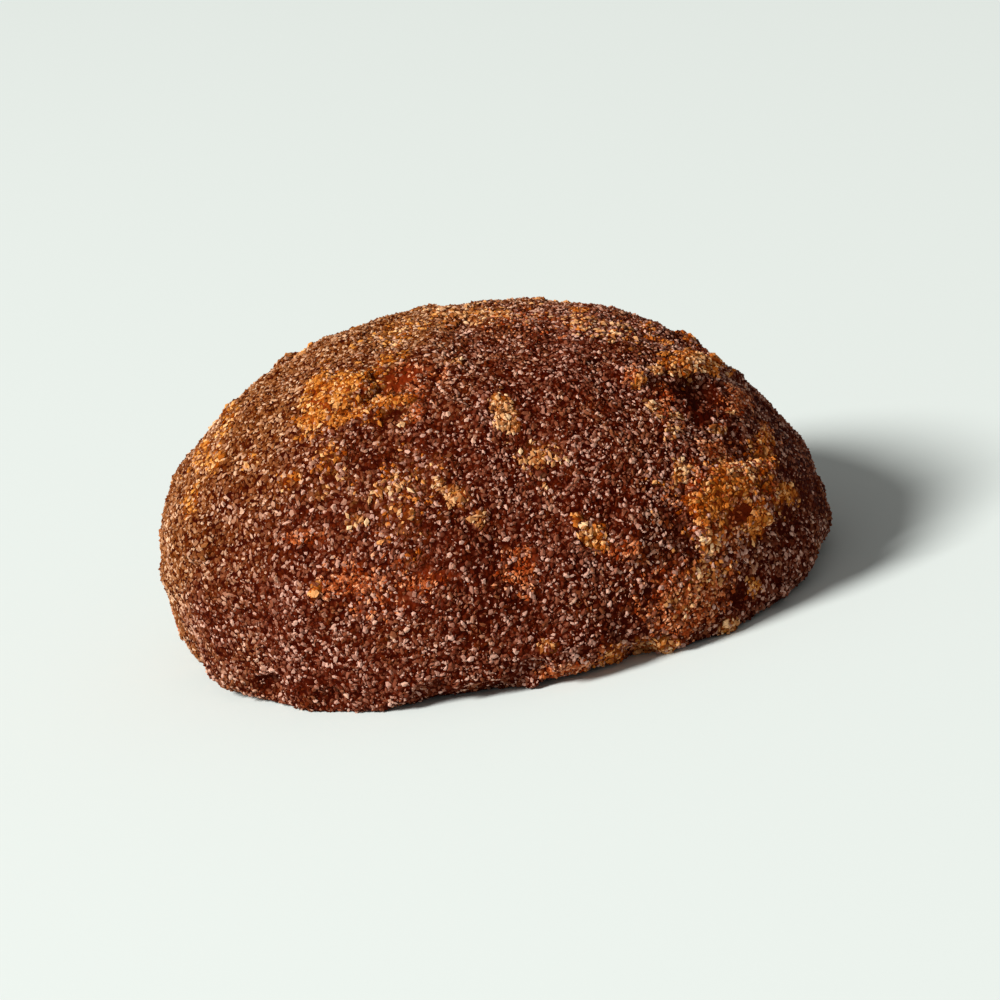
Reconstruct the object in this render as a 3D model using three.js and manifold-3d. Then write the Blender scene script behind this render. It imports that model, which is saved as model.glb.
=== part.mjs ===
// A lump of palm jaggery: boiled sap cast in half a coconut shell and turned out on its poured face.
// It is one solid piece, a low uneven dome with a crumbly rim, thin scabs of sugar crust and a few hollows.
// Millimetres, +Z up. The origin is the middle of the footprint, on the flat face that the lump rests on.
import * as THREE from "three";
import { ImprovedNoise } from "three/addons/math/ImprovedNoise.js";
import { mergeVertices } from "three/addons/utils/BufferGeometryUtils.js";
import Module from "manifold-3d";

// Driving dimensions
const WIDTH = 90; // left to right, along X
const DEPTH = 84; // front to back, along Y
const HEIGHT = 40; // from the resting face to the crown

// The cast form
const BELLY = 4; // height of the widest ring, just above the resting face
const TUCK = 6.5; // how far down the rounded edge below the belly would reach if it weren't cut flat
const DOME_FULLNESS = 2.13; // superellipse exponent over the belly: 2 is an ellipse, more is fuller
const EDGE_FULLNESS = 4; // the same for the edge below it
const LEAN = 5; // the crown stands this far towards -X of the middle
const LEAN_CURVE = 1.5; // above 1, most of the lean is in the upper part
const DOME_DETAIL = 19; // subdivisions of the icosahedron that is shaped into the dome

// How the outline seen from above departs from an oval: lobes around it, their depth and where they point
const LOBES = [
  { count: 2, depth: 0.5, turn: 160 },
  { count: 3, depth: 0.9, turn: 205 },
  { count: 5, depth: 0.5, turn: 40 },
];

// How the rim rises and falls around the lump
const RIM_WAVES = [
  { count: 2, depth: 0.4, turn: 315 },
  { count: 5, depth: 0.9, turn: 272 },
];
const RIM_REACH = 14; // the waves have died out this far above the belly

// Where the lump bulges out, or is drawn in, over this many degrees seen from the belly's middle
const BULGES = [
  { turn: 190, lift: 18, depth: 1.7, spread: 24 },
  { turn: 184, lift: 0, depth: -2, spread: 14 },
  { turn: 352, lift: 38, depth: 1.8, spread: 24 },
];

// The dome's swells and dents, from broad to fine
const SWELLS = [
  { length: 34, depth: 2.0 },
  { length: 13, depth: 1.1 },
  { length: 5.5, depth: 0.8 },
];

// Scabs of crust, and hollows where one has come away. turn is the way round from +X towards +Y and lift the
// height over the belly, both in degrees seen from the belly's middle. twist turns the piece on the surface.
const SCABS = [
  { turn: 226, lift: 56, long: 14, wide: 9, thick: 0.7, twist: 25 },
  { turn: 318, lift: 15, long: 15, wide: 9, thick: 0.7, twist: 0 },
  { turn: 358, lift: 33, long: 12, wide: 4, thick: 0.8, twist: 37 },
  { turn: 324, lift: 43, long: 7, wide: 3.5, thick: 0.7, twist: 110 },
  { turn: 302, lift: 4, long: 11, wide: 8, thick: 0.6, twist: 70 },
  { turn: 281, lift: 0, long: 12, wide: 5, thick: 1.1, twist: 0 },
  { turn: 279, lift: 49, long: 5, wide: 3.5, thick: 0.6, twist: 120 },
  { turn: 288, lift: 21, long: 3.5, wide: 3, thick: 0.6, twist: 60 },
  { turn: 148, lift: 53, long: 5, wide: 4, thick: 1.2, twist: 90 },
];
const HOLLOWS = [
  { turn: 333, lift: 32, long: 9, wide: 7, thick: 1.2, twist: 20 },
  { turn: 218, lift: -1, long: 6, wide: 5, thick: 1.4, twist: 0 },
  { turn: 232, lift: -2, long: 8, wide: 5, thick: 1.4, twist: 0 },
  { turn: 254, lift: -6, long: 24, wide: 6, thick: 1.8, twist: 0 },
  { turn: 292, lift: -5, long: 6, wide: 6, thick: 2.6, twist: 0 },
];

// Scattered relief. A pair of numbers is the range of a random draw, and slim is a piece's width over its
// length. The pieces on the dome spread up between two lifts, and turn is where the first one is.
const MORE_SCABS = { count: 14, long: [4, 9], slim: [0.5, 0.9], thick: [0.4, 0.6], lifts: [8, 86], turn: 20 };
const MORE_HOLLOWS = { count: 6, long: [3, 7], slim: [0.5, 0.9], thick: [0.6, 1], lifts: [14, 80], turn: 95 };
const RIM_CHIPS = { count: 9, long: [4, 9], slim: [0.35, 0.7], thick: [1.3, 2.6], lifts: [-12, -2] };
const RIM_CRUMBS = { count: 12, long: [2.5, 5], slim: [0.35, 0.7], thick: [0.5, 1.1], lifts: [-10, 3] };
const BASE_DENTS = { count: 6, long: [5, 14], slim: [0.5, 0.95], thick: [0.5, 1.2] };
const BASE_CLEAR = 9; // the middle of the resting face has no dent within this radius
const GOLDEN_ANGLE = 137.5; // from one piece to the next, which spreads them evenly
const DOME_STRAY = 12; // how far in degrees a piece on the dome strays from its even place
const RIM_STRAY = 0.3; // how far a piece on the rim strays, as a share of the way to the next
const RIM_TWIST = 15; // how far in degrees a piece on the rim turns away from the rim's direction

// One piece of relief is a flattened pebble, set half into the lump
const RAGGED = { depth: 0.45, pitch: 1.7 }; // how its outline departs from an oval
const CRUSTY = { depth: 0.5, pitch: 2.5 }; // how its top departs from level
const PEBBLE_FLATNESS = 0.6; // 1 is round-topped, less is flatter
const PLACED_DETAIL = 2; // subdivisions of the icosahedron that a placed piece is shaped from
const SCATTERED_DETAIL = 1; // the same for a scattered piece

const FINEST = 0.05; // relief finer than this is left out
const SEED = 20;
const JAGGERY = { color: 0x5b2a17, roughness: 0.75, metalness: 0 };

const noise = new ImprovedNoise();
const { degToRad, radToDeg, smoothstep } = THREE.MathUtils;

// A repeatable random source: each call gives the next number from 0 to 1.
function makeRandom(seed) {
  const modulus = 2147483647;
  const multiplier = 48271;
  let state = seed;
  return () => {
    state = (state * multiplier) % modulus;
    return state / modulus;
  };
}
const random = makeRandom(SEED);
const draw = ([low, high]) => low + (high - low) * random();
const drawEitherWay = (most) => draw([-most, most]);

// The sum of waves around the lump at an angle in radians.
function around(waves, angle) {
  const height = ({ count, depth, turn }) => depth * Math.cos(count * (angle - degToRad(turn)));
  return waves.reduce((sum, wave) => sum + height(wave), 0);
}

// How far the swells lift or sink the surface at a point. Each swell reads its own part of the noise.
function unevenness(point) {
  const swell = ({ length, depth }, row) =>
    depth * noise.noise(point.x / length + 9 * row, point.y / length, point.z / length + 4 * row);
  return SWELLS.reduce((sum, size, row) => sum + swell(size, row), 0);
}

// How far the bulges push the surface out in a direction.
function bulging(direction) {
  const push = ({ turn, lift, depth, spread }) =>
    depth * Math.exp(-((radToDeg(direction.angleTo(heading(turn, lift))) / spread) ** 2));
  return BULGES.reduce((sum, bulge) => sum + push(bulge), 0);
}

// Where a ray from the belly's middle, in this direction, leaves the lump.
function surfaceAt(direction) {
  const angle = Math.atan2(direction.y, direction.x);
  const oval = Math.hypot((WIDTH / 2) * Math.cos(angle), (DEPTH / 2) * Math.sin(angle));
  const above = direction.z > 0;
  const power = above ? DOME_FULLNESS : EDGE_FULLNESS;
  const across = Math.hypot(direction.x, direction.y) / (oval + around(LOBES, angle));
  const up = Math.abs(direction.z) / (above ? HEIGHT - BELLY : TUCK);
  const point = direction.clone().multiplyScalar((across ** power + up ** power) ** (-1 / power));
  const height = Math.max(point.z, 0);
  point.addScaledVector(direction, unevenness(point) + bulging(direction));
  point.x -= LEAN * (height / (HEIGHT - BELLY)) ** LEAN_CURVE;
  point.z += BELLY + around(RIM_WAVES, angle) * (1 - smoothstep(height, 0, RIM_REACH));
  return point;
}

// The direction that turn and lift give, in degrees.
function heading(turn, lift) {
  const level = Math.cos(degToRad(lift));
  const angle = degToRad(turn);
  return new THREE.Vector3(level * Math.cos(angle), level * Math.sin(angle), Math.sin(degToRad(lift)));
}

// A frame on the lump's surface there, with its Z pointing out and its X turned by twist.
function frameAt(turn, lift, twist) {
  const step = 2;
  const here = surfaceAt(heading(turn, lift));
  const along = surfaceAt(heading(turn + step, lift)).sub(here).normalize();
  const up = surfaceAt(heading(turn, lift + step)).sub(here).normalize();
  const out = new THREE.Vector3().crossVectors(along, up).normalize();
  const side = new THREE.Vector3().crossVectors(out, along);
  const frame = new THREE.Matrix4().makeBasis(along, side, out).setPosition(here);
  return frame.multiply(new THREE.Matrix4().makeRotationZ(degToRad(twist)));
}

const wasm = await Module();
wasm.setup();

function toSolid(geometry) {
  geometry.deleteAttribute("normal");
  geometry.deleteAttribute("uv");
  const merged = mergeVertices(geometry, 1e-4);
  return new wasm.Manifold(
    new wasm.Mesh({
      numProp: 3,
      vertProperties: merged.attributes.position.array,
      triVerts: new Uint32Array(merged.index.array),
    }),
  );
}

function toGeometry(solid) {
  const mesh = solid.getMesh();
  const geometry = new THREE.BufferGeometry();
  geometry.setAttribute("position", new THREE.BufferAttribute(mesh.vertProperties, 3));
  geometry.setIndex(new THREE.BufferAttribute(mesh.triVerts, 1));
  return geometry;
}

// An icosahedron ball with each vertex moved to where shape puts its direction.
function shapedBall(detail, shape) {
  const ball = new THREE.IcosahedronGeometry(1, detail);
  const places = ball.attributes.position;
  const direction = new THREE.Vector3();
  for (let i = 0; i < places.count; i++) {
    places.setXYZ(i, ...shape(direction.fromBufferAttribute(places, i).normalize()));
  }
  return ball;
}

// A piece of relief where frame says: added it is a scab or a crumb, taken away it leaves a hollow or a chip.
function pebble({ long, wide, thick }, frame, detail = SCATTERED_DETAIL) {
  const offset = draw([0, 50]);
  const ball = shapedBall(detail, ({ x, y, z }) => {
    const edge = 1 + RAGGED.depth * noise.noise(RAGGED.pitch * x + offset, RAGGED.pitch * y, offset);
    const top = 1 + CRUSTY.depth * noise.noise(CRUSTY.pitch * x, CRUSTY.pitch * y + offset, 0);
    const height = Math.sign(z) * Math.abs(z) ** PEBBLE_FLATNESS * thick * top;
    return [(x * edge * long) / 2, (y * edge * wide) / 2, height];
  });
  return toSolid(ball.applyMatrix4(frame));
}

const placed = (piece) => pebble(piece, frameAt(piece.turn, piece.lift, piece.twist), PLACED_DETAIL);

function drawSize({ long, slim, thick }) {
  const length = draw(long);
  return { long: length, wide: length * draw(slim), thick: draw(thick) };
}

// Pieces of one kind, spread evenly over the dome between two lifts.
function scatterOnDome(kind) {
  const [low, high] = kind.lifts.map((lift) => Math.sin(degToRad(lift)));
  return Array.from({ length: kind.count }, (_, index) => {
    const lift = radToDeg(Math.asin(low + (high - low) * ((index + 0.5) / kind.count)));
    const turn = kind.turn + index * GOLDEN_ANGLE + drawEitherWay(DOME_STRAY);
    return pebble(drawSize(kind), frameAt(turn, lift, draw([0, 180])));
  });
}

// Pieces of one kind around the rim.
function scatterOnRim(kind) {
  return Array.from({ length: kind.count }, (_, index) => {
    const turn = (360 / kind.count) * (index + drawEitherWay(RIM_STRAY));
    return pebble(drawSize(kind), frameAt(turn, draw(kind.lifts), drawEitherWay(RIM_TWIST)));
  });
}

// Shallow dents in the resting face, clear of its middle.
function baseDents(kind) {
  return Array.from({ length: kind.count }, (_, index) => {
    const size = drawSize(kind);
    const nearest = BASE_CLEAR + size.long / 2;
    const distance = nearest + (DEPTH / 2 - nearest) * Math.sqrt((index + 0.5) / kind.count);
    const way = heading(index * GOLDEN_ANGLE, 0).multiplyScalar(distance);
    const turned = new THREE.Matrix4().makeRotationZ(draw([0, Math.PI]));
    return pebble(size, turned.setPosition(way));
  });
}

function lumpGeometry() {
  const dome = toSolid(shapedBall(DOME_DETAIL, (direction) => surfaceAt(direction).toArray()));
  const added = [...SCABS.map(placed), ...scatterOnDome(MORE_SCABS), ...scatterOnRim(RIM_CRUMBS)];
  const removed = [
    ...HOLLOWS.map(placed),
    ...scatterOnDome(MORE_HOLLOWS),
    ...scatterOnRim(RIM_CHIPS),
    ...baseDents(BASE_DENTS),
  ];
  const ground = new THREE.BoxGeometry(2 * WIDTH, 2 * DEPTH, HEIGHT).translate(0, 0, -HEIGHT / 2);
  const whole = added.reduce((solid, piece) => solid.add(piece), dome);
  const worn = [toSolid(ground), ...removed].reduce((solid, piece) => solid.subtract(piece), whole);
  const [largest] = worn.simplify(FINEST).decompose().sort((a, b) => b.volume() - a.volume());
  return toGeometry(largest);
}

// Brings the geometry to the driving dimensions, with its footprint's middle over the origin.
function toSize(geometry) {
  geometry.computeBoundingBox();
  const size = geometry.boundingBox.getSize(new THREE.Vector3());
  const middle = geometry.boundingBox.getCenter(new THREE.Vector3());
  geometry.translate(-middle.x, -middle.y, 0);
  return geometry.scale(WIDTH / size.x, DEPTH / size.y, HEIGHT / size.z);
}

const lump = new THREE.Mesh(toSize(lumpGeometry()), new THREE.MeshStandardMaterial(JAGGERY));
lump.name = "jaggery_lump";

const part = new THREE.Group();
part.add(lump);

export default part;
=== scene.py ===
"""The looks of a lump of palm jaggery.

It is dark red-brown sugar in a coat of paler grains, with golden scabs and bare spots. The lump's place
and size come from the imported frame. Lengths are in metres unless a comment says otherwise.
"""

import math
from collections import namedtuple

import bmesh
import bpy
import numpy as np
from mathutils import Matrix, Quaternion, Vector, noise


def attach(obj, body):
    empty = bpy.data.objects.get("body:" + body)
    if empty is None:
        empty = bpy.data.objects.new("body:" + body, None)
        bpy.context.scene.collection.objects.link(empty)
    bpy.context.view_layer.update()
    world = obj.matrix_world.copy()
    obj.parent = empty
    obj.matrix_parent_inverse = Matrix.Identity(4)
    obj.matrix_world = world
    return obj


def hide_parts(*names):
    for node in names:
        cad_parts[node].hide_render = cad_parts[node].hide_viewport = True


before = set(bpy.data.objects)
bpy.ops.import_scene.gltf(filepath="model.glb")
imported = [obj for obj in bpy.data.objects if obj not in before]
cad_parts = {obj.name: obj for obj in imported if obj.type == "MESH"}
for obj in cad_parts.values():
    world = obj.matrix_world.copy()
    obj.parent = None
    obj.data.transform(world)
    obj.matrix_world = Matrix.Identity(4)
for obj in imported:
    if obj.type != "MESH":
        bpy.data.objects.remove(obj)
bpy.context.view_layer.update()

MM = 0.001
NODE = "jaggery_lump"
SEED = 7

# ---------------------------------------------------------------- what the surface is made of

# A zone is an oval on the surface. turn is the way round from +X towards +Y and lift the height, both in
# degrees, seen from the belly's middle. long and wide are in mm, twist turns the length from level, in
# degrees, and share is how much of the oval is covered.
Zone = namedtuple("Zone", "turn lift long wide twist share", defaults=(1,))
BELLY = 4 * MM  # height of the belly's middle
FRONT = (270, 18)  # turn and lift of the side whose zones are all placed one by one
FRONT_EDGE = 0.2  # the cosine of the angle from there at which the scattered zones begin

# Scabs of golden crust
GOLDEN = [
    # high on the left
    Zone(221, 53, 15, 5.2, -52),
    Zone(228, 57, 8, 5.8, -25),
    Zone(234, 51, 7.4, 3.5, 35, 0.8),
    Zone(246, 55, 5.8, 2.6, 14),
    Zone(240, 53, 7, 6, 0, 0.3),
    Zone(238, 61, 6, 5, -30, 0.5),
    Zone(235, 67, 5.4, 4, 63, 0.5),
    # along the top
    Zone(200, 77, 11, 7, -52, 0.25),
    Zone(18, 82, 15, 11, 64, 0.12),
    Zone(346, 58, 13, 8, 53, 0.15),
    Zone(351, 46, 8.7, 4.2, 27, 0.3),
    # left edge
    Zone(198, 36, 6, 3.5, 0, 0.5),
    Zone(198, 29, 6, 4.5, -12, 0.4),
    Zone(210, 39, 3.5, 2.6, 10, 0.3),
    Zone(189, 43, 8, 4, -7, 0.5),
    Zone(190, 36, 10, 6, 8, 0.35),
    # right, over the hollow
    Zone(344, 38, 15, 5, -22),
    Zone(320, 43, 3.2, 1.8, 10),
    # right, in the middle
    Zone(318, 16, 17, 11, 0, 0.4),
    Zone(335, 20, 12, 3.6, 9, 0.5),
    Zone(311, 17, 6.4, 5.2, 5),
    Zone(317, 18, 7.5, 3.2, -23),
    Zone(318, 21, 4.7, 3, -13, 0.7),
    Zone(320, 11, 5.4, 3.6, -72),
    Zone(331, 11, 7, 3.2, -17),
    Zone(310, 24, 4.8, 2.1, 55, 0.6),
    Zone(309, 11, 4.5, 2.9, -27, 0.6),
    # low on the right and along the rim
    Zone(307, 7, 8.6, 4, -14, 0.3),
    Zone(296, -4, 5.8, 3.4, -4, 0.7),
    Zone(288, -4, 6, 5, 0, 0.5),
    Zone(315, 1, 3.3, 2, -26),
    # small or sparse ones, in the middle and on the left
    Zone(288, 20, 4.8, 3.9, -62),
    Zone(233, 41, 7, 4.2, -67, 0.2),
    Zone(225, 37, 4, 3, 5, 0.3),
    Zone(235, 18, 2.6, 1.6, 67),
    Zone(252, 34, 14, 9.8, -84, 0.12),
]

# Flakes of pale tan crust
PALE = [
    Zone(18, 82, 15, 11, 64, 0.15),
    Zone(346, 58, 13, 8, 53, 0.12),
    Zone(251, 51, 4.6, 2.3, -79, 0.3),
    Zone(281, 48, 6.6, 3.2, 88),
    Zone(284, 37, 3.4, 2.6, 12, 0.75),
    Zone(269, 65, 3, 2.2, 0, 0.2),
    Zone(264, 33, 3.3, 2.8, -43),
    Zone(260, 36, 2.1, 1.9, -63, 0.8),
    Zone(268, 28, 2.2, 1.9, 77, 0.8),
    Zone(253, 31, 2.4, 2, -16, 0.35),
    Zone(251, 36, 4.8, 4.5, -59, 0.22),
    Zone(243, 30, 4, 2.4, 0, 0.3),
    Zone(233, 35, 3.6, 2.6, 5, 0.15),
    Zone(238, 38, 3, 2.4, 81, 0.2),
    Zone(329, 42, 2.8, 1.8, 4),
    Zone(316, 36, 3.9, 1.7, 72, 0.5),
    Zone(319, 33, 4, 1.5, -31, 0.3),
    Zone(332, 28, 3.2, 1.6, 3, 0.3),
    Zone(325, 27, 3.6, 1.9, -21, 0.5),
    Zone(314, 31, 2.8, 1.8, 18, 0.4),
    Zone(344, 38, 13, 4.4, -22, 0.3),
    Zone(310, 24, 4.8, 2.1, 55, 0.4),
    Zone(322, 18, 3.2, 1.8, -7, 0.25),
    Zone(309, 11, 4.5, 2.9, -27, 0.3),
    Zone(307, 7, 8.6, 4, -14, 0.1),
    Zone(320, 20, 5.5, 3, -6, 0.2),
    Zone(275, 3, 2.9, 1.7, -9, 0.5),
    Zone(288, 20, 3.2, 2.6, -62, 0.3),
    Zone(302, 4, 9, 5, -16, 0.1),
    Zone(308, -4, 3, 2.5, -21),
    Zone(285, 37, 6.8, 5, -24, 0.15),
    Zone(296, -4, 5, 2.6, -4, 0.4),
]

# Reddish granular crust
RUSTY = [
    Zone(301, 4, 11.5, 8, -20),
    Zone(305, 5, 9, 6, -14),
    Zone(299, 1, 7, 5, -20),
    Zone(340, 28, 13, 4.4, -4),
    Zone(321, 45, 4.6, 2.4, 14, 0.9),
    Zone(323, 39, 3.4, 2.2, 17),
    Zone(321, 37, 3.8, 2.6, 28),
    Zone(319, 25, 5.3, 3, -22),
    Zone(314, 14, 9, 6, 30),
    Zone(318, 17, 16, 11, 0, 0.7),
    Zone(317, 33, 6, 3.4, 60, 0.7),
    Zone(335, 20, 12, 4, 9),
    Zone(294, 15, 6.5, 3.6, -25, 0.6),
    Zone(278, -3, 9, 4, -5, 0.8),
    Zone(291, -4, 11, 6, -15, 0.6),
    Zone(273, 17, 6.4, 4.6, 86, 0.8),
    Zone(275, 19, 5.6, 4.6, -13, 0.4),
    Zone(256, 18, 7, 2.4, 0, 0.7),
    Zone(242, 20, 7.1, 3.9, 8, 0.8),
    Zone(246, 19, 15, 7, -3, 0.35),
    Zone(231, 27, 8, 2.4, 3, 0.5),
    Zone(343, 72, 13, 10, 25, 0.2),
    Zone(254, 52, 4.2, 2.2, -84),
    Zone(246, 60, 9, 6, 20, 0.7),
]

# Bare dark sugar, where crust has come away, and darker patches with few grains, among them painted shade
# on the right side
BARE_AND_SHADE = [
    Zone(331, 34, 12, 8.4, -5),
    Zone(325, 31, 5.2, 3.4, 15),
    Zone(246, 51, 5.2, 2.9, 4, 0.8),
    Zone(232, 52, 2, 1.7, 17, 0.8),
    Zone(324, 15, 3.9, 2.4, -12, 0.8),
    Zone(327, 7, 7, 3.7, -14, 0.8),
    Zone(311, 1, 4.4, 3.6, -34, 0.9),
    Zone(291, 6, 10, 7.4, -18, 0.4),
    Zone(264, 10, 23, 11, -10, 0.15),
    Zone(242, 43, 7.9, 5.7, -18, 0.12),
    Zone(305, 17, 3.6, 2.8, 58, 0.6),
    Zone(263, 25, 8.6, 7, -80, 0.3),
    Zone(268, 20, 10, 6.9, -11, 0.55),
    Zone(270, 14, 8, 6, -10, 0.5),
    Zone(289, 8, 6.4, 4.5, -18, 0.3),
    Zone(285, 44, 5.1, 3.3, -22, 0.12),
    # painted shade: these two darken the right side, which faces away from the lamp
    Zone(345, 17, 20, 11, 23, 0.65),
    Zone(341, 8, 20, 12, -22, 0.65),
    Zone(216, -1, 7, 3.8, 26, 0.55),
    Zone(231, -1, 7.2, 4.4, 23, 0.55),
]

# Smooth red-brown spots, where syrup has set
SYRUP = [
    Zone(243, 61, 5.5, 5, -53),
    Zone(251, 63, 4.1, 2, 4, 0.8),
    Zone(333, 40, 2.3, 1.7, -10),
    Zone(315, 13, 6.5, 4, -5),
    Zone(258, 19, 7, 1.8, -13, 0.7),
    Zone(250, 15, 4.4, 2.6, -5, 0.6),
    Zone(276, 18, 3, 2, 80, 0.5),
    Zone(323, 40, 2, 1.6, 34),
]

# The same kinds again on the rest of the lump, by seed: how many are tried, and the range of their length
# in mm. Those that would lie on the front are dropped.
MORE_GOLDEN = (64, (1.8, 12))
MORE_PALE = (70, (1.6, 4.5))
MORE_RUSTY = (44, (3, 12))
MORE_BARE = (20, (3, 8))
MORE_SYRUP = (26, (2, 6))
LOWEST_SINE = -0.06  # the sine of the lowest one's lift
SLIMNESS = (0.4, 0.9)  # the range of their width, as a share of the length
COVER = (0.4, 1)  # the range of their share

# A layer of noise is the length of its swells, its depth, and a shift that makes it differ from others
RAGGED = [(2.4 * MM, 0.8, 0), (1.0 * MM, 0.7, 5)]  # a zone's edge, in shares of its size
RAGGED_WIDTH = 5  # a zone narrower than this, in mm, is less ragged
ZONE_FADE = (0.55, 1.1)  # a zone ends between these shares of its size
ZONE_REACH = (0.8, 1)  # and nowhere further out than this share of its length and this many mm

# Grains are warmer and lighter the further they lie this way, patchily, from the first of these mm to the
# second.
# This is partly the sugar's own warmer tint and partly painted light on the upper left, where the lamp is.
WARM_LIT_WAY = (-0.9, 0.8, 0.9)
WARM_PATCHES = [(14 * MM, 14, 60), (5 * MM, 7, 65)]
WARM_LIT_RANGE = (8, 52)

# Colours between the grains
NIGHT = (0.034, 0.0022, 0.0003)
MAROON = (0.090, 0.0088, 0.0012)
UMBER = (0.120, 0.0190, 0.0026)
RED_SYRUP = (0.175, 0.0190, 0.0030)
RUST = (0.235, 0.0350, 0.0045)
AMBER = (0.400, 0.0950, 0.0075)

# Colours of the grains, from the dullest to the brightest
COOL_GRAINS = [(0.090, 0.011, 0.003), (0.24, 0.072, 0.038), (0.67, 0.39, 0.31)]
# The warm grains, used where warm is high, are lighter than the cool ones: partly painted light.
WARM_GRAINS = [(0.130, 0.025, 0.002), (0.325, 0.118, 0.035), (0.72, 0.45, 0.28)]
AMBER_GRAINS = [(0.29, 0.050, 0.003), (0.60, 0.185, 0.030), (0.90, 0.46, 0.19)]
GOLDEN_GRAINS = [(0.35, 0.072, 0.003), (0.68, 0.280, 0.050), (0.90, 0.55, 0.26)]
PALE_GRAINS = [(0.32, 0.095, 0.022), (0.66, 0.32, 0.128), (0.92, 0.61, 0.35)]
RUSTY_GRAINS = [(0.23, 0.026, 0.003), (0.52, 0.135, 0.040), (0.86, 0.41, 0.23)]

# ---------------------------------------------------------------- the body's mesh

VOXEL = 0.49 * MM  # keeps the body under 200,000 triangles
SOFTENING = 3  # rounds of smoothing, which take the flat facets out
WELD = 0.001 * MM  # corners nearer than this are one
CRUST_RISE = 0.25 * MM  # golden and pale crust stands this far out
RUSTY_RISE = 0.5  # rusty crust stands out by this share of that
BARE_DEPTH = 0.20 * MM  # a bare spot lies this deep
GOLD_OVER_BARE = 0.8  # golden crust covers this share of a bare spot

# The body's own roughness, from coarse to fine, and the share of it that bare and syrupy spots lose
ROUGHNESS = [(5.0 * MM, 0.20 * MM, 0), (2.2 * MM, 0.15 * MM, 7.3), (1.1 * MM, 0.15 * MM, 14.6)]
SMOOTHED = 0.7

BASE_TOP = 2 * MM  # the resting face lies below this height
BASE_FACING = (0.8, 0.97)  # how squarely it looks down, at its rim and within it
BASE_INSET = 0.3 * MM  # it lies this far inside the grains that stand out of it
BASE_DENTS = (2 * MM, 0.12 * MM, 40)  # a layer of noise
LOWEST = 0.05 * MM  # no corner of the body is lower

# A piece's colours are laid out on a map of this name. On the body's map, the dome is a disc seen
# from the belly's middle and the resting face a smaller one beside it: the middle and radius of each.
MAP_NAME = "OFBake"
DOME_DISC = (0.40, 0.40, 0.40)
FLAT_DISC = (0.82, 0.82, 0.17)
FLAT_FACING = 0.5  # a face goes to the smaller disc if it looks down more squarely than this
FLAT_TOP = 1.5 * MM  # and lies lower than this
MARGIN = 0.02  # the grains' map keeps this far from its edges
GRAIN_SPREAD = 0.004  # half the width of a grain's face on its map

# ---------------------------------------------------------------- the grains' shapes and tones

GRAIN_SHAPE = (1.42, 0.92, 0.72)  # length, width and height of a grain of size 1
GRAIN_VARIETY = (0.75, 1.1)  # each of these is stretched by a number from this range
SMALL_ONES = 1.5  # above 1, small grains are commoner than large ones
HEIGHT_OUT = 0.45  # a grain's middle stands this share of its size out of the body, less its sink
SPARSE_FACING = 0.7  # grains are sparser on the resting face, which looks down at least this squarely

# tone runs from the dullest grain to the brightest, and shade from the cool ones to the warm ones
TONE, TONE_SPREAD = 0.42, 0.36
TONE_PATCHES = [(1.8 * MM, 0.2, 80), (5 * MM, 0.16, 90)]  # deeper among the cool grains
SHADE_SPREAD = 0.12
SHADE_PATCHES = [(3 * MM, 0.35, 100), (8 * MM, 0.3, 110)]
# this also dulls the grains in the painted shade on the right side
BARE_DULLNESS = 0.35  # grains on a bare spot are duller by this

# Plain and rusty grains gather along winding lines, and golden ones along others
WINDING = (1.3 * MM, 20)
GOLDEN_WINDING = (1.2 * MM, 30)
WINDING_FADE = (0.04, 0.30)

rng = np.random.default_rng(SEED)


# ---------------------------------------------------------------- numbers to and from meshes


def read(items, name, width=1, kind=np.float32):
    """One property of all items, as a row of numbers each where its width is more than 1."""
    found = np.empty(len(items) * width, kind)
    items.foreach_get(name, found)
    return found.reshape(-1, width) if width > 1 else found


def positions(mesh):
    return read(mesh.vertices, "co", 3).astype(float)


def normals(mesh):
    return read(mesh.vertices, "normal", 3).astype(float)


def put_attribute(mesh, name, values):
    layer = mesh.attributes.new(name, "FLOAT", "POINT")
    layer.data.foreach_set("value", values.astype(np.float32))


def put_map(mesh, places):
    """places holds the two numbers of each corner of each face, in order."""
    layer = mesh.uv_layers.new(name=MAP_NAME, do_init=False)
    layer.uv.foreach_set("vector", places.astype(np.float32).ravel())


def noise_at(places, length, offset):
    """Smooth noise from about -1 to 1 at each place, with swells of this length."""
    shift = Vector((offset, 2.3 * offset, -1.7 * offset))
    return np.array([noise.noise(Vector(p) / length + shift) for p in places])


def layered(places, layers, offset=0, start=0):
    """Layers of noise on top of start. layers holds the length, depth and shift of each."""
    total = start
    for length, depth, shift in layers:
        total = total + depth * noise_at(places, length, offset + shift)
    return total


def smoothstep(values, low, high):
    t = np.clip((values - low) / (high - low), 0, 1)
    return t * t * (3 - 2 * t)


def unit(vectors):
    return vectors / np.linalg.norm(vectors, axis=-1, keepdims=True)


def new_object(name, mesh):
    made = bpy.data.objects.new(name, mesh)
    bpy.context.scene.collection.objects.link(made)
    return made


def dressed(piece, material):
    """The piece rides on the lump and wears this material."""
    piece.data.materials.clear()
    piece.data.materials.append(material)
    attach(piece, "root")


# ---------------------------------------------------------------- zones


def heading(turn, lift):
    """The direction at this turn and lift, in degrees."""
    level = math.cos(math.radians(lift))
    angle = math.radians(turn)
    return np.array((level * math.cos(angle), level * math.sin(angle), math.sin(math.radians(lift))))


def scattered_zones(count, lengths):
    """Zones away from the front, evenly spread by area, small ones more often than large."""
    made = []
    for _ in range(count):
        turn, lift = rng.uniform(0, 360), math.degrees(math.asin(rng.uniform(LOWEST_SINE, 1)))
        long = lengths[0] + (lengths[1] - lengths[0]) * rng.random() ** 2
        wide = long * rng.uniform(*SLIMNESS)
        zone = Zone(turn, lift, long, wide, rng.uniform(0, 180), rng.uniform(*COVER))
        if heading(turn, lift) @ heading(*FRONT) < FRONT_EDGE:
            made.append(zone)
    return made


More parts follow.
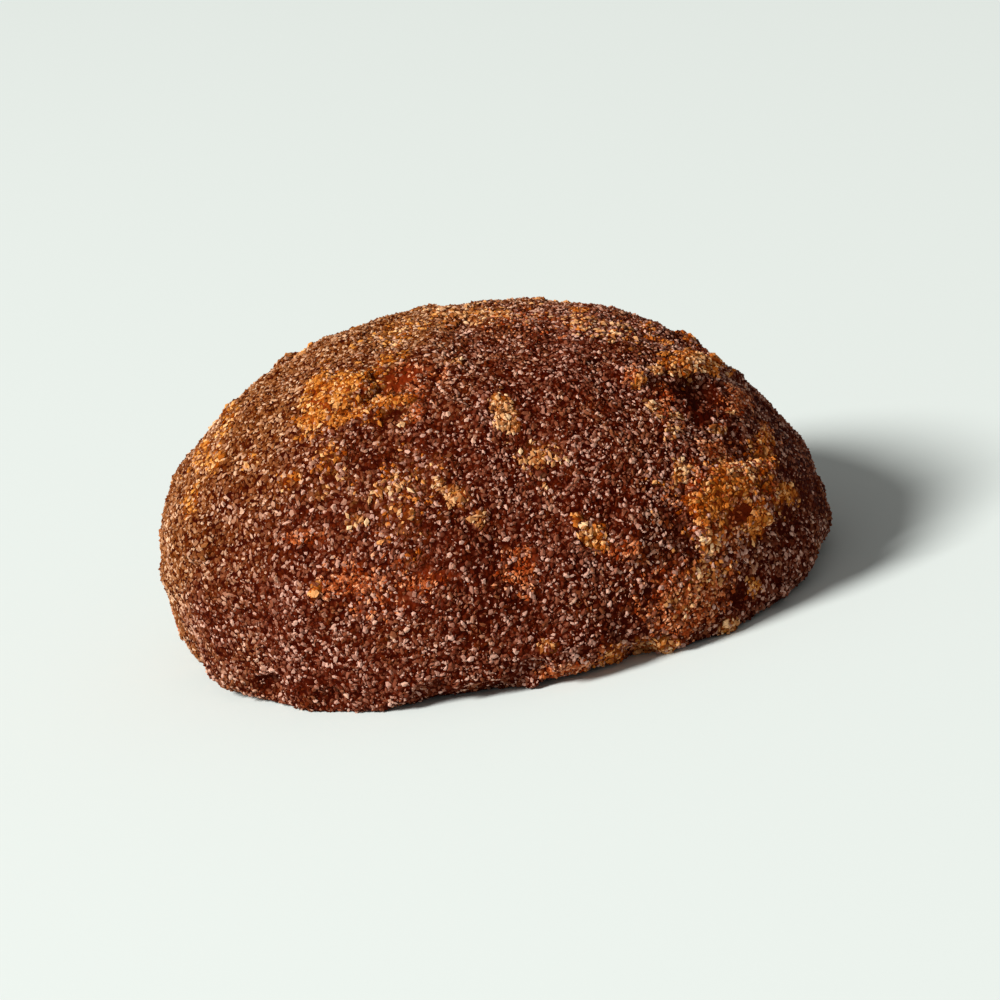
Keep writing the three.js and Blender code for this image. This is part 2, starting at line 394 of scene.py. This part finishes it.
def zone_mask(places, zone, offset):
    """The zone's share in the zone and 0 well outside it, with a ragged edge."""
    out = heading(zone.turn, zone.lift)
    along = unit(np.cross((0, 0, 1), out))
    side = np.cross(out, along)
    twist = math.radians(zone.twist)
    first = along * math.cos(twist) + side * math.sin(twist)
    second = side * math.cos(twist) - along * math.sin(twist)
    seen = unit(places - (0, 0, BELLY))
    middle = places[np.argmax(seen @ out)]
    gap = places - middle
    near = np.linalg.norm(gap, axis=1) < (ZONE_REACH[0] * zone.long + ZONE_REACH[1]) * MM
    oval = np.hypot(gap[near] @ first / zone.long, gap[near] @ second / zone.wide) * 2 / MM
    ragged = layered(places[near], RAGGED, offset) * min(1, (zone.wide / RAGGED_WIDTH) ** 1.5)
    mask = np.zeros(len(places))
    mask[near] = zone.share * (1 - smoothstep(oval + ragged, *ZONE_FADE))
    return mask


def zones_mask(places, zones, offset):
    """The strongest of the zones at each place. offset gives their edges noise of their own."""
    mask = np.zeros(len(places))
    for number, zone in enumerate(zones):
        mask = np.maximum(mask, zone_mask(places, zone, offset + 3.1 * number))
    return mask


# ---------------------------------------------------------------- the body

Masks = namedtuple("Masks", "golden pale rusty bare syrup warm")


def welded_copy(node):
    """A copy of a CAD node's mesh with its faces joined at their shared corners."""
    mesh = bpy.data.meshes.new("jaggery_body")
    edit = bmesh.new()
    edit.from_mesh(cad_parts[node].data)
    bmesh.ops.remove_doubles(edit, verts=edit.verts, dist=WELD)
    edit.to_mesh(mesh)
    edit.free()
    return mesh


def apply_modifiers(piece):
    graph = bpy.context.evaluated_depsgraph_get()
    piece.data = bpy.data.meshes.new_from_object(piece.evaluated_get(graph))
    piece.modifiers.clear()


def fine_body():
    """The CAD lump as an even, fine mesh with no flat facets."""
    body = new_object("jaggery_body", welded_copy(NODE))
    voxels = body.modifiers.new("voxels", "REMESH")
    voxels.mode = "VOXEL"
    voxels.voxel_size = VOXEL
    soften = body.modifiers.new("soften", "SMOOTH")
    soften.factor = 0.5
    soften.iterations = SOFTENING
    apply_modifiers(body)
    return body


def surface_masks(places):
    """How far each place is in each kind of crust or spot, bare ones with painted shade among them, and
    how warm its grains are, with painted light on the upper left, from 0 to 1.
    """
    golden = zones_mask(places, GOLDEN + scattered_zones(*MORE_GOLDEN), 0)
    pale = zones_mask(places, PALE + scattered_zones(*MORE_PALE), 800)
    rusty = zones_mask(places, RUSTY + scattered_zones(*MORE_RUSTY), 200)
    syrup = zones_mask(places, SYRUP + scattered_zones(*MORE_SYRUP), 600)
    bare = zones_mask(places, BARE_AND_SHADE + scattered_zones(*MORE_BARE), 400) * (1 - GOLD_OVER_BARE * golden)
    warm = smoothstep(layered(places, WARM_PATCHES, start=places @ WARM_LIT_WAY / MM), *WARM_LIT_RANGE)
    return Masks(golden, pale, rusty, bare, syrup, warm)


def roughened(places, out, on):
    """The places moved outwards by the crust and the roughness, and kept off the ground."""
    base = smoothstep(-out[:, 2], *BASE_FACING) * (places[:, 2] < BASE_TOP)
    crust = np.maximum(np.maximum(on.golden, on.pale), RUSTY_RISE * on.rusty)
    smooth = np.maximum(on.bare, on.syrup)
    rise = (CRUST_RISE * crust - BARE_DEPTH * smooth) * (1 - base)
    for length, depth, shift in ROUGHNESS:
        rise += depth * noise_at(places, length, shift) * (1 - SMOOTHED * smooth)
    moved = places + out * rise[:, None]
    height = moved[:, 2]
    floor = layered(moved, [BASE_DENTS], start=BASE_INSET)
    moved[:, 2] = np.maximum(np.where(base > 0, np.maximum(height, floor), height), LOWEST)
    return moved


def map_body(mesh):
    """Lays the dome out by turn and lift, and the resting face as it lies."""
    facing = read(mesh.polygons, "normal", 3)[:, 2]
    height = read(mesh.polygons, "center", 3)[:, 2]
    resting = (facing < -FLAT_FACING) & (height < FLAT_TOP)
    resting = np.repeat(resting, read(mesh.polygons, "loop_total", kind=np.int32))
    at = positions(mesh)[read(mesh.loops, "vertex_index", kind=np.int32)]
    from_top = math.pi / 2 - np.arcsin(unit(at - (0, 0, BELLY))[:, 2])
    from_top /= from_top[~resting].max()
    turn = np.arctan2(at[:, 1], at[:, 0])
    level = np.stack([np.cos(turn), np.sin(turn)], 1)
    dome = np.array(DOME_DISC[:2]) + level * (from_top * DOME_DISC[2])[:, None]
    flat = np.array(FLAT_DISC[:2]) + at[:, :2] * (FLAT_DISC[2] / np.abs(at[resting]).max())
    put_map(mesh, np.where(resting[:, None], flat, dome))


def make_body():
    body = fine_body()
    mesh = body.data
    places = positions(mesh)
    masks = surface_masks(places)
    places = roughened(places, normals(mesh), masks)
    mesh.vertices.foreach_set("co", places.astype(np.float32).ravel())
    mesh.update()
    for name, mask in masks._asdict().items():
        put_attribute(mesh, name, mask)
    map_body(mesh)
    mesh.shade_smooth()
    return body


# ---------------------------------------------------------------- materials

BLACK, WHITE = (0, 0, 0), (1, 1, 1)
FINE_GRAIN = 0.62 * MM  # length of the fine grains that the body itself is packed with
# painted shade darkens the fine grains between these shares of their length from their middle
GRAIN_GAP = (0.34, 0.66)  # they darken between these shares of their length from their middle
GRAIN_BUMP = 0.35 * MM  # their height
SWIRL = 1 / 0.6  # noise with swells of this many grains' length makes them uneven
SWIRL_PULL = 0.9  # it moves them by up to this share of their length
BROAD = 6 * MM  # length of the light and dark clouds in bare and syrupy spots
DULL, GLOSSY = 0.62, 0.30  # roughness of the crust and of syrup


def new_material(name):
    material = bpy.data.materials.new(name)
    material.use_nodes = True
    tree = material.node_tree
    return material, tree, tree.nodes["Principled BSDF"]


def add(tree, kind, **settings):
    node = tree.nodes.new(kind)
    for key, value in settings.items():
        setattr(node, key, value)
    return node


def ramp(tree, stops, source):
    """A colour for each value of source, blended between stops of (value, colour)."""
    node = add(tree, "ShaderNodeValToRGB")
    elements = node.color_ramp.elements
    while len(elements) < len(stops):
        elements.new(0.5)
    for element, (place, colour) in zip(elements, stops):
        element.position = place
        element.color = (*colour, 1)
    tree.links.new(source, node.inputs["Fac"])
    return node.outputs["Color"]


def noise_texture(tree, length):
    """Noise whose swells have this length."""
    node = add(tree, "ShaderNodeTexNoise")
    coords = add(tree, "ShaderNodeTexCoord")
    tree.links.new(coords.outputs["Object"], node.inputs["Vector"])
    node.inputs["Scale"].default_value = 1 / length
    return node


def mix(tree, share, first, second):
    node = add(tree, "ShaderNodeMix", data_type="RGBA")
    tree.links.new(share, node.inputs["Factor"])
    tree.links.new(first, node.inputs["A"])
    tree.links.new(second, node.inputs["B"])
    return node.outputs["Result"]


def attribute(tree, name):
    return add(tree, "ShaderNodeAttribute", attribute_name=name).outputs["Fac"]


def packed_grains(tree, length):
    """Fine grains of this length, packed: a random number for each, and the distance from its middle."""
    swirl = noise_texture(tree, SWIRL * length)
    pull = add(tree, "ShaderNodeVectorMath", operation="MULTIPLY_ADD")
    tree.links.new(swirl.outputs["Color"], pull.inputs[0])
    pull.inputs[1].default_value = (SWIRL_PULL * length,) * 3
    coords = add(tree, "ShaderNodeTexCoord")
    tree.links.new(coords.outputs["Object"], pull.inputs[2])
    cells = add(tree, "ShaderNodeTexVoronoi")
    tree.links.new(pull.outputs["Vector"], cells.inputs["Vector"])
    cells.inputs["Scale"].default_value = 1 / length
    number = add(tree, "ShaderNodeSeparateColor")
    tree.links.new(cells.outputs["Color"], number.inputs["Color"])
    return number.outputs["Red"], cells.outputs["Distance"]


def body_material():
    """What shows between the larger grains: dark sugar packed with fine ones, with painted shade in the
    gaps between them, golden or red in crust.
    """
    material, tree, shader = new_material("jaggery_body")
    clouds = noise_texture(tree, BROAD)
    clouds.inputs["Detail"].default_value = 3.0
    broad = clouds.outputs["Fac"]
    number, gap = packed_grains(tree, FINE_GRAIN)
    cool = ramp(tree, [(0.0, NIGHT), (0.5, MAROON), (0.8, COOL_GRAINS[0]), (1.0, COOL_GRAINS[1])], number)
    warm = ramp(tree, [(0.0, NIGHT), (0.4, UMBER), (0.7, WARM_GRAINS[0]), (1.0, WARM_GRAINS[1])], number)
    rusty = ramp(tree, [(0.0, MAROON), (0.4, RUST), (1.0, RUSTY_GRAINS[1])], number)
    golden = ramp(tree, [(0.0, RUST), (0.3, RUST), (0.65, AMBER), (1.0, GOLDEN_GRAINS[1])], number)
    bare = ramp(tree, [(0.45, NIGHT), (0.95, MAROON)], broad)
    syrup = ramp(tree, [(0.3, MAROON), (0.6, RED_SYRUP)], broad)
    gap_shade_colour = ramp(tree, [(0.0, NIGHT), (1.0, NIGHT)], number)
    gap_shade = ramp(tree, list(zip(GRAIN_GAP, (BLACK, WHITE))), gap)
    # painted light: warm gives the upper left the warmer, lighter colours
    colour = mix(tree, attribute(tree, "warm"), cool, warm)
    colour = mix(tree, attribute(tree, "rusty"), colour, rusty)
    # painted shade in the gaps between the fine grains
    colour = mix(tree, gap_shade, colour, gap_shade_colour)
    # bare darkens bare spots and paints shade on the right side
    for kind, over in (("golden", golden), ("pale", golden), ("bare", bare), ("syrup", syrup)):
        colour = mix(tree, attribute(tree, kind), colour, over)
    tree.links.new(colour, shader.inputs["Base Color"])
    gloss = ramp(tree, [(0.0, (DULL,) * 3), (1.0, (GLOSSY,) * 3)], attribute(tree, "syrup"))
    tree.links.new(gloss, shader.inputs["Roughness"])
    bump = add(tree, "ShaderNodeBump", invert=True)
    bump.inputs["Strength"].default_value = 0.8
    bump.inputs["Distance"].default_value = GRAIN_BUMP
    tree.links.new(gap, bump.inputs["Height"])
    tree.links.new(bump.outputs["Normal"], shader.inputs["Normal"])
    shader.inputs["Specular IOR Level"].default_value = 0.01
    return material


def grain_material(name, cool_side, warm_side, roughness=0.5, specular=0.01):
    """tone takes a grain from a side's dullest colour to its brightest, and shade between the sides."""
    material, tree, shader = new_material(name)
    tone = attribute(tree, "tone")
    sides = [ramp(tree, list(zip((0.0, 0.5, 1.0), side)), tone) for side in (cool_side, warm_side)]
    tree.links.new(mix(tree, attribute(tree, "shade"), *sides), shader.inputs["Base Color"])
    shader.inputs["Roughness"].default_value = roughness
    shader.inputs["Specular IOR Level"].default_value = specular
    return material


# ---------------------------------------------------------------- grains

Form = namedtuple("Form", "corners faces")


def make_form(make, **settings):
    """A small closed shape, about 1 across, to copy many times."""
    edit = bmesh.new()
    make(edit, **settings)
    corners = np.array([v.co[:] for v in edit.verts])
    faces = np.array([[v.index for v in f.verts] for f in edit.faces])
    edit.free()
    return Form(corners, faces)


NODULE = make_form(bmesh.ops.create_uvsphere, u_segments=5, v_segments=2, radius=0.54)
CRUMB = make_form(bmesh.ops.create_icosphere, subdivisions=2, radius=0.5)
CRYSTAL = make_form(bmesh.ops.create_uvsphere, u_segments=4, v_segments=2, radius=0.56)
SPECK = make_form(bmesh.ops.create_cone, segments=4, radius1=0.5, radius2=0, depth=0.6, cap_ends=False)


def points_on(mesh, count):
    """Random points spread over the mesh by area: where, which way out, and a corner near each."""
    mesh.calc_loop_triangles()
    corners = read(mesh.loop_triangles, "vertices", 3, np.int32)
    at = positions(mesh)
    a, b, c = at[corners[:, 0]], at[corners[:, 1]], at[corners[:, 2]]
    cross = np.cross(b - a, c - a)
    area = np.linalg.norm(cross, axis=1)
    face = rng.choice(len(area), count, p=area / area.sum())
    u, v = rng.random(count), rng.random(count)
    over = u + v > 1
    u[over], v[over] = 1 - u[over], 1 - v[over]
    spots = a[face] + (b - a)[face] * u[:, None] + (c - a)[face] * v[:, None]
    return spots, unit(cross[face]), corners[face, 0]


def spaced(spots, gaps):
    """Which spots stay when each keeps its own gap to those kept before it."""
    cell = gaps.max()
    steps = (-1, 0, 1)
    around = [(i, j, k) for i in steps for j in steps for k in steps]
    cells = np.floor(spots / cell).astype(int).tolist()
    grid = {}
    kept = []
    for index, (spot, (i, j, k), gap) in enumerate(zip(spots.tolist(), cells, (gaps**2).tolist())):
        clear = all(
            (spot[0] - x) ** 2 + (spot[1] - y) ** 2 + (spot[2] - z) ** 2 > gap
            for a, b, c in around
            for x, y, z in grid.get((i + a, j + b, k + c), ())
        )
        if clear:
            grid.setdefault((i, j, k), []).append(spot)
            kept.append(index)
    return np.array(kept)


def surface_frames(out):
    """A rotation for each way out. Its rows are a random way along the surface, its side, and out."""
    along = unit(np.cross(out, unit(rng.normal(size=out.shape))))
    return np.stack([along, np.cross(out, along), out], 1)


def joined(name, faces, places):
    """One mesh of many copies of a form with these faces. places holds each copy's corners."""
    count, corners = places.shape[:2]
    ring = (faces[None] + corners * np.arange(count)[:, None, None]).reshape(-1, faces.shape[1])
    mesh = bpy.data.meshes.new(name)
    mesh.vertices.add(corners * count)
    mesh.loops.add(ring.size)
    mesh.polygons.add(len(ring))
    mesh.vertices.foreach_set("co", places.astype(np.float32).ravel())
    mesh.loops.foreach_set("vertex_index", ring.ravel().astype(np.int32))
    mesh.polygons.foreach_set("loop_start", np.arange(0, ring.size, ring.shape[1], dtype=np.int32))
    mesh.update(calc_edges=True)
    mesh.shade_flat()
    return mesh


def map_grains(mesh, faces, tone, shade):
    """Puts every face of a grain where its colour lies on the map: tone across and shade up."""
    turn = 2 * math.pi * np.arange(faces.shape[1]) / faces.shape[1]
    round_it = GRAIN_SPREAD * np.stack([np.cos(turn), np.sin(turn)], 1)
    middle = MARGIN + (1 - 2 * MARGIN) * np.stack([tone, shade], 1)
    put_map(mesh, np.repeat(middle, len(faces), 0)[:, None] + round_it)


class Coat:
    """Scatters grains over the body, each kind where the body's masks let it."""

    def __init__(self, body):
        self.mesh = body.data
        self.masks = [read(self.mesh.attributes[name].data, "value") for name in Masks._fields]

    def spots(self, chance, count, sizes, gap, most):
        """Where grains lie, which way out is, how large they are, and the masks there."""
        spots, out, corner = points_on(self.mesh, count)
        on = Masks(*(mask[corner] for mask in self.masks))
        resting = (out[:, 2] < -SPARSE_FACING) & (spots[:, 2] < BASE_TOP)
        stay = np.flatnonzero(rng.random(count) < chance(spots, on) * np.where(resting, most, 1))
        sizes = (sizes[0] + (sizes[1] - sizes[0]) * rng.random(len(stay)) ** SMALL_ONES) * MM
        kept = spaced(spots[stay], sizes * gap) if gap else np.arange(len(stay))
        stay = stay[kept]
        return spots[stay], out[stay], sizes[kept], Masks(*(mask[stay] for mask in on))

    def grains(
        self, name, form, material, chance, count, sizes, gap, sink=0.42, jitter=0.15, most=0.5
    ):
        """Tries count grains, of these sizes in mm.

        chance gives how likely a grain is, and most its share of that on the resting face. gap is to the
        next grain and sink how deep a grain lies, as shares of its size. jitter is how uneven it is.
        """
        spots, out, sizes, on = self.spots(chance, count, sizes, gap, most)
        corners = form.corners
        stretch = rng.uniform(*GRAIN_VARIETY, (len(spots), 1, 3)) * GRAIN_SHAPE
        turned = corners[None] * stretch + rng.uniform(-jitter, jitter, (len(spots), len(corners), 3))
        turned = np.einsum("nij,njk->nik", turned, surface_frames(out))
        middles = spots + out * sizes[:, None] * (HEIGHT_OUT - sink)
        places = turned * sizes[:, None, None] + middles[:, None]
        places[:, :, 2] = np.maximum(places[:, :, 2], 0)
        mesh = joined(name, form.faces, places)
        patchy = layered(spots, TONE_PATCHES) * (1.2 - 0.8 * on.warm)
        tone = TONE + TONE_SPREAD * rng.normal(size=len(spots)) + patchy - BARE_DULLNESS * on.bare
        tone = np.clip(tone, 0, 1)
        # shade follows warm, so it carries the painted light on the upper left too
        shade = on.warm + layered(spots, SHADE_PATCHES) + SHADE_SPREAD * rng.normal(size=len(spots))
        shade = np.clip(shade, 0, 1)
        put_attribute(mesh, "tone", np.repeat(tone, len(corners)))
        put_attribute(mesh, "shade", np.repeat(shade, len(corners)))
        map_grains(mesh, form.faces, tone, shade)
        dressed(new_object(name, mesh), material)


def winding(places, length, offset):
    """1 along winding lines about this far apart and 0 between them."""
    return 1 - smoothstep(np.abs(noise_at(places, length, offset)), *WINDING_FADE)


def plain_chance(spots, on):
    """Plain grains lie everywhere, but few where it is bare, syrupy or crusted."""
    crusted = np.maximum(on.golden, on.pale)
    free = (1 - 0.8 * on.bare) * (1 - 0.95 * on.syrup) * (1 - 0.88 * crusted) * (1 - 0.85 * on.rusty)
    return (0.4 + 0.6 * np.maximum(winding(spots, *WINDING), 0.4 * on.warm)) * free


def golden_chance(spots, on):
    """Golden ones lie in golden crust, fewer where it is bare or syrupy and none where it is pale."""
    crusted = on.golden * (1 - on.pale) * (1 - 0.9 * on.syrup) * (1 - 0.7 * on.bare)
    return crusted * (0.45 + 0.55 * winding(spots, *GOLDEN_WINDING))


def pale_chance(spots, on):
    """Pale ones lie all over the pale crust."""
    return on.pale


def rusty_chance(spots, on):
    """Rusty ones lie in rusty crust, fewer where it is bare or syrupy and none in the other crusts."""
    crusted = on.rusty * (1 - on.golden) * (1 - on.pale) * (1 - 0.9 * on.syrup) * (1 - 0.8 * on.bare)
    return crusted * (0.5 + 0.5 * winding(spots, *WINDING))


def make_coat(body):
    coat = Coat(body)
    nodule = grain_material("sugar_nodules", COOL_GRAINS, WARM_GRAINS)
    crystal = grain_material("sugar_crystals", COOL_GRAINS, WARM_GRAINS, roughness=0.35, specular=0.04)
    golden = grain_material("golden_grains", AMBER_GRAINS, GOLDEN_GRAINS)
    pale = grain_material("pale_grains", PALE_GRAINS, PALE_GRAINS)
    rusty = grain_material("rusty_grains", RUSTY_GRAINS, RUSTY_GRAINS)
    coat.grains(
        "sugar_nodules", NODULE, nodule, plain_chance,
        count=58000, sizes=(0.42, 0.77), gap=0.70, most=0.3,
    )
    coat.grains(
        "sugar_crystals", CRYSTAL, crystal, plain_chance,
        count=62000, sizes=(0.29, 0.57), gap=0.68, most=0.3,
    )
    coat.grains(
        "sugar_specks", SPECK, crystal, plain_chance,
        count=94000, sizes=(0.17, 0.34), gap=0, sink=0.25, most=0.3,
    )
    coat.grains(
        "golden_grains", CRYSTAL, golden, golden_chance,
        count=200000, sizes=(0.3, 0.7), gap=0.5, sink=0.3,
    )
    coat.grains(
        "golden_crumbs", CRUMB, golden, golden_chance,
        count=5000, sizes=(0.5, 0.95), gap=0.9, sink=0.35, jitter=0.2,
    )
    coat.grains(
        "pale_grains", CRYSTAL, pale, pale_chance,
        count=200000, sizes=(0.35, 0.85), gap=0.45, sink=0.25,
    )
    coat.grains(
        "rusty_grains", CRYSTAL, rusty, rusty_chance,
        count=260000, sizes=(0.28, 0.60), gap=0.44,
    )


# ---------------------------------------------------------------- the studio

LIGHT_COLOUR = (1.0, 0.94, 0.86)
FLOOR_COLOUR = (0.74, 0.84, 0.87)
FLOOR_REACH = 6.0


def add_floor():
    mesh = bpy.data.meshes.new("floor")
    corners = [(x * FLOOR_REACH, y * FLOOR_REACH, 0) for x, y in ((-1, -1), (1, -1), (1, 1), (-1, 1))]
    mesh.from_pydata(corners, [], [(0, 1, 2, 3)])
    material, _, shader = new_material("floor")
    shader.inputs["Base Color"].default_value = (*FLOOR_COLOUR, 1)
    shader.inputs["Roughness"].default_value = 0.9
    shader.inputs["Specular IOR Level"].default_value = 0.1
    mesh.materials.append(material)
    new_object("floor", mesh)


def add_light(name, place, aim, size, power):
    light = bpy.data.lights.new(name, "AREA")
    light.shape = "DISK"
    light.size = size
    light.energy = power
    light.color = LIGHT_COLOUR
    lamp = new_object(name, light)
    lamp.location = place
    lamp.rotation_euler = (Vector(aim) - Vector(place)).to_track_quat("-Z", "Y").to_euler()


def add_world():
    world = bpy.data.worlds.new("studio")
    world.use_nodes = True
    background = world.node_tree.nodes["Background"]
    background.inputs["Color"].default_value = (*LIGHT_COLOUR, 1)
    background.inputs["Strength"].default_value = 0.22
    bpy.context.scene.world = world


def add_camera():
    elevation, roll, distance, lens = math.radians(18), math.radians(12), 0.60, 160
    aim = Vector((1.6, 0, 13.0)) * MM
    back = Vector((0, -math.cos(elevation), math.sin(elevation)))
    camera = new_object("camera", bpy.data.cameras.new("camera"))
    camera.data.lens = lens
    camera.data.clip_start = 0.01
    camera.location = aim + back * distance
    camera.rotation_mode = "QUATERNION"
    camera.rotation_quaternion = (-back).to_track_quat("-Z", "Y") @ Quaternion((0, 0, 1), -roll)
    bpy.context.scene.camera = camera


add_camera()
body = make_body()
dressed(body, body_material())
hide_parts(NODE)
make_coat(body)
add_floor()
add_world()
add_light("key", place=(-2.9, -1.25, 2.7), aim=(0, 0, 0.02), size=1.4, power=245)
bpy.context.scene.view_settings.view_transform = "Standard"
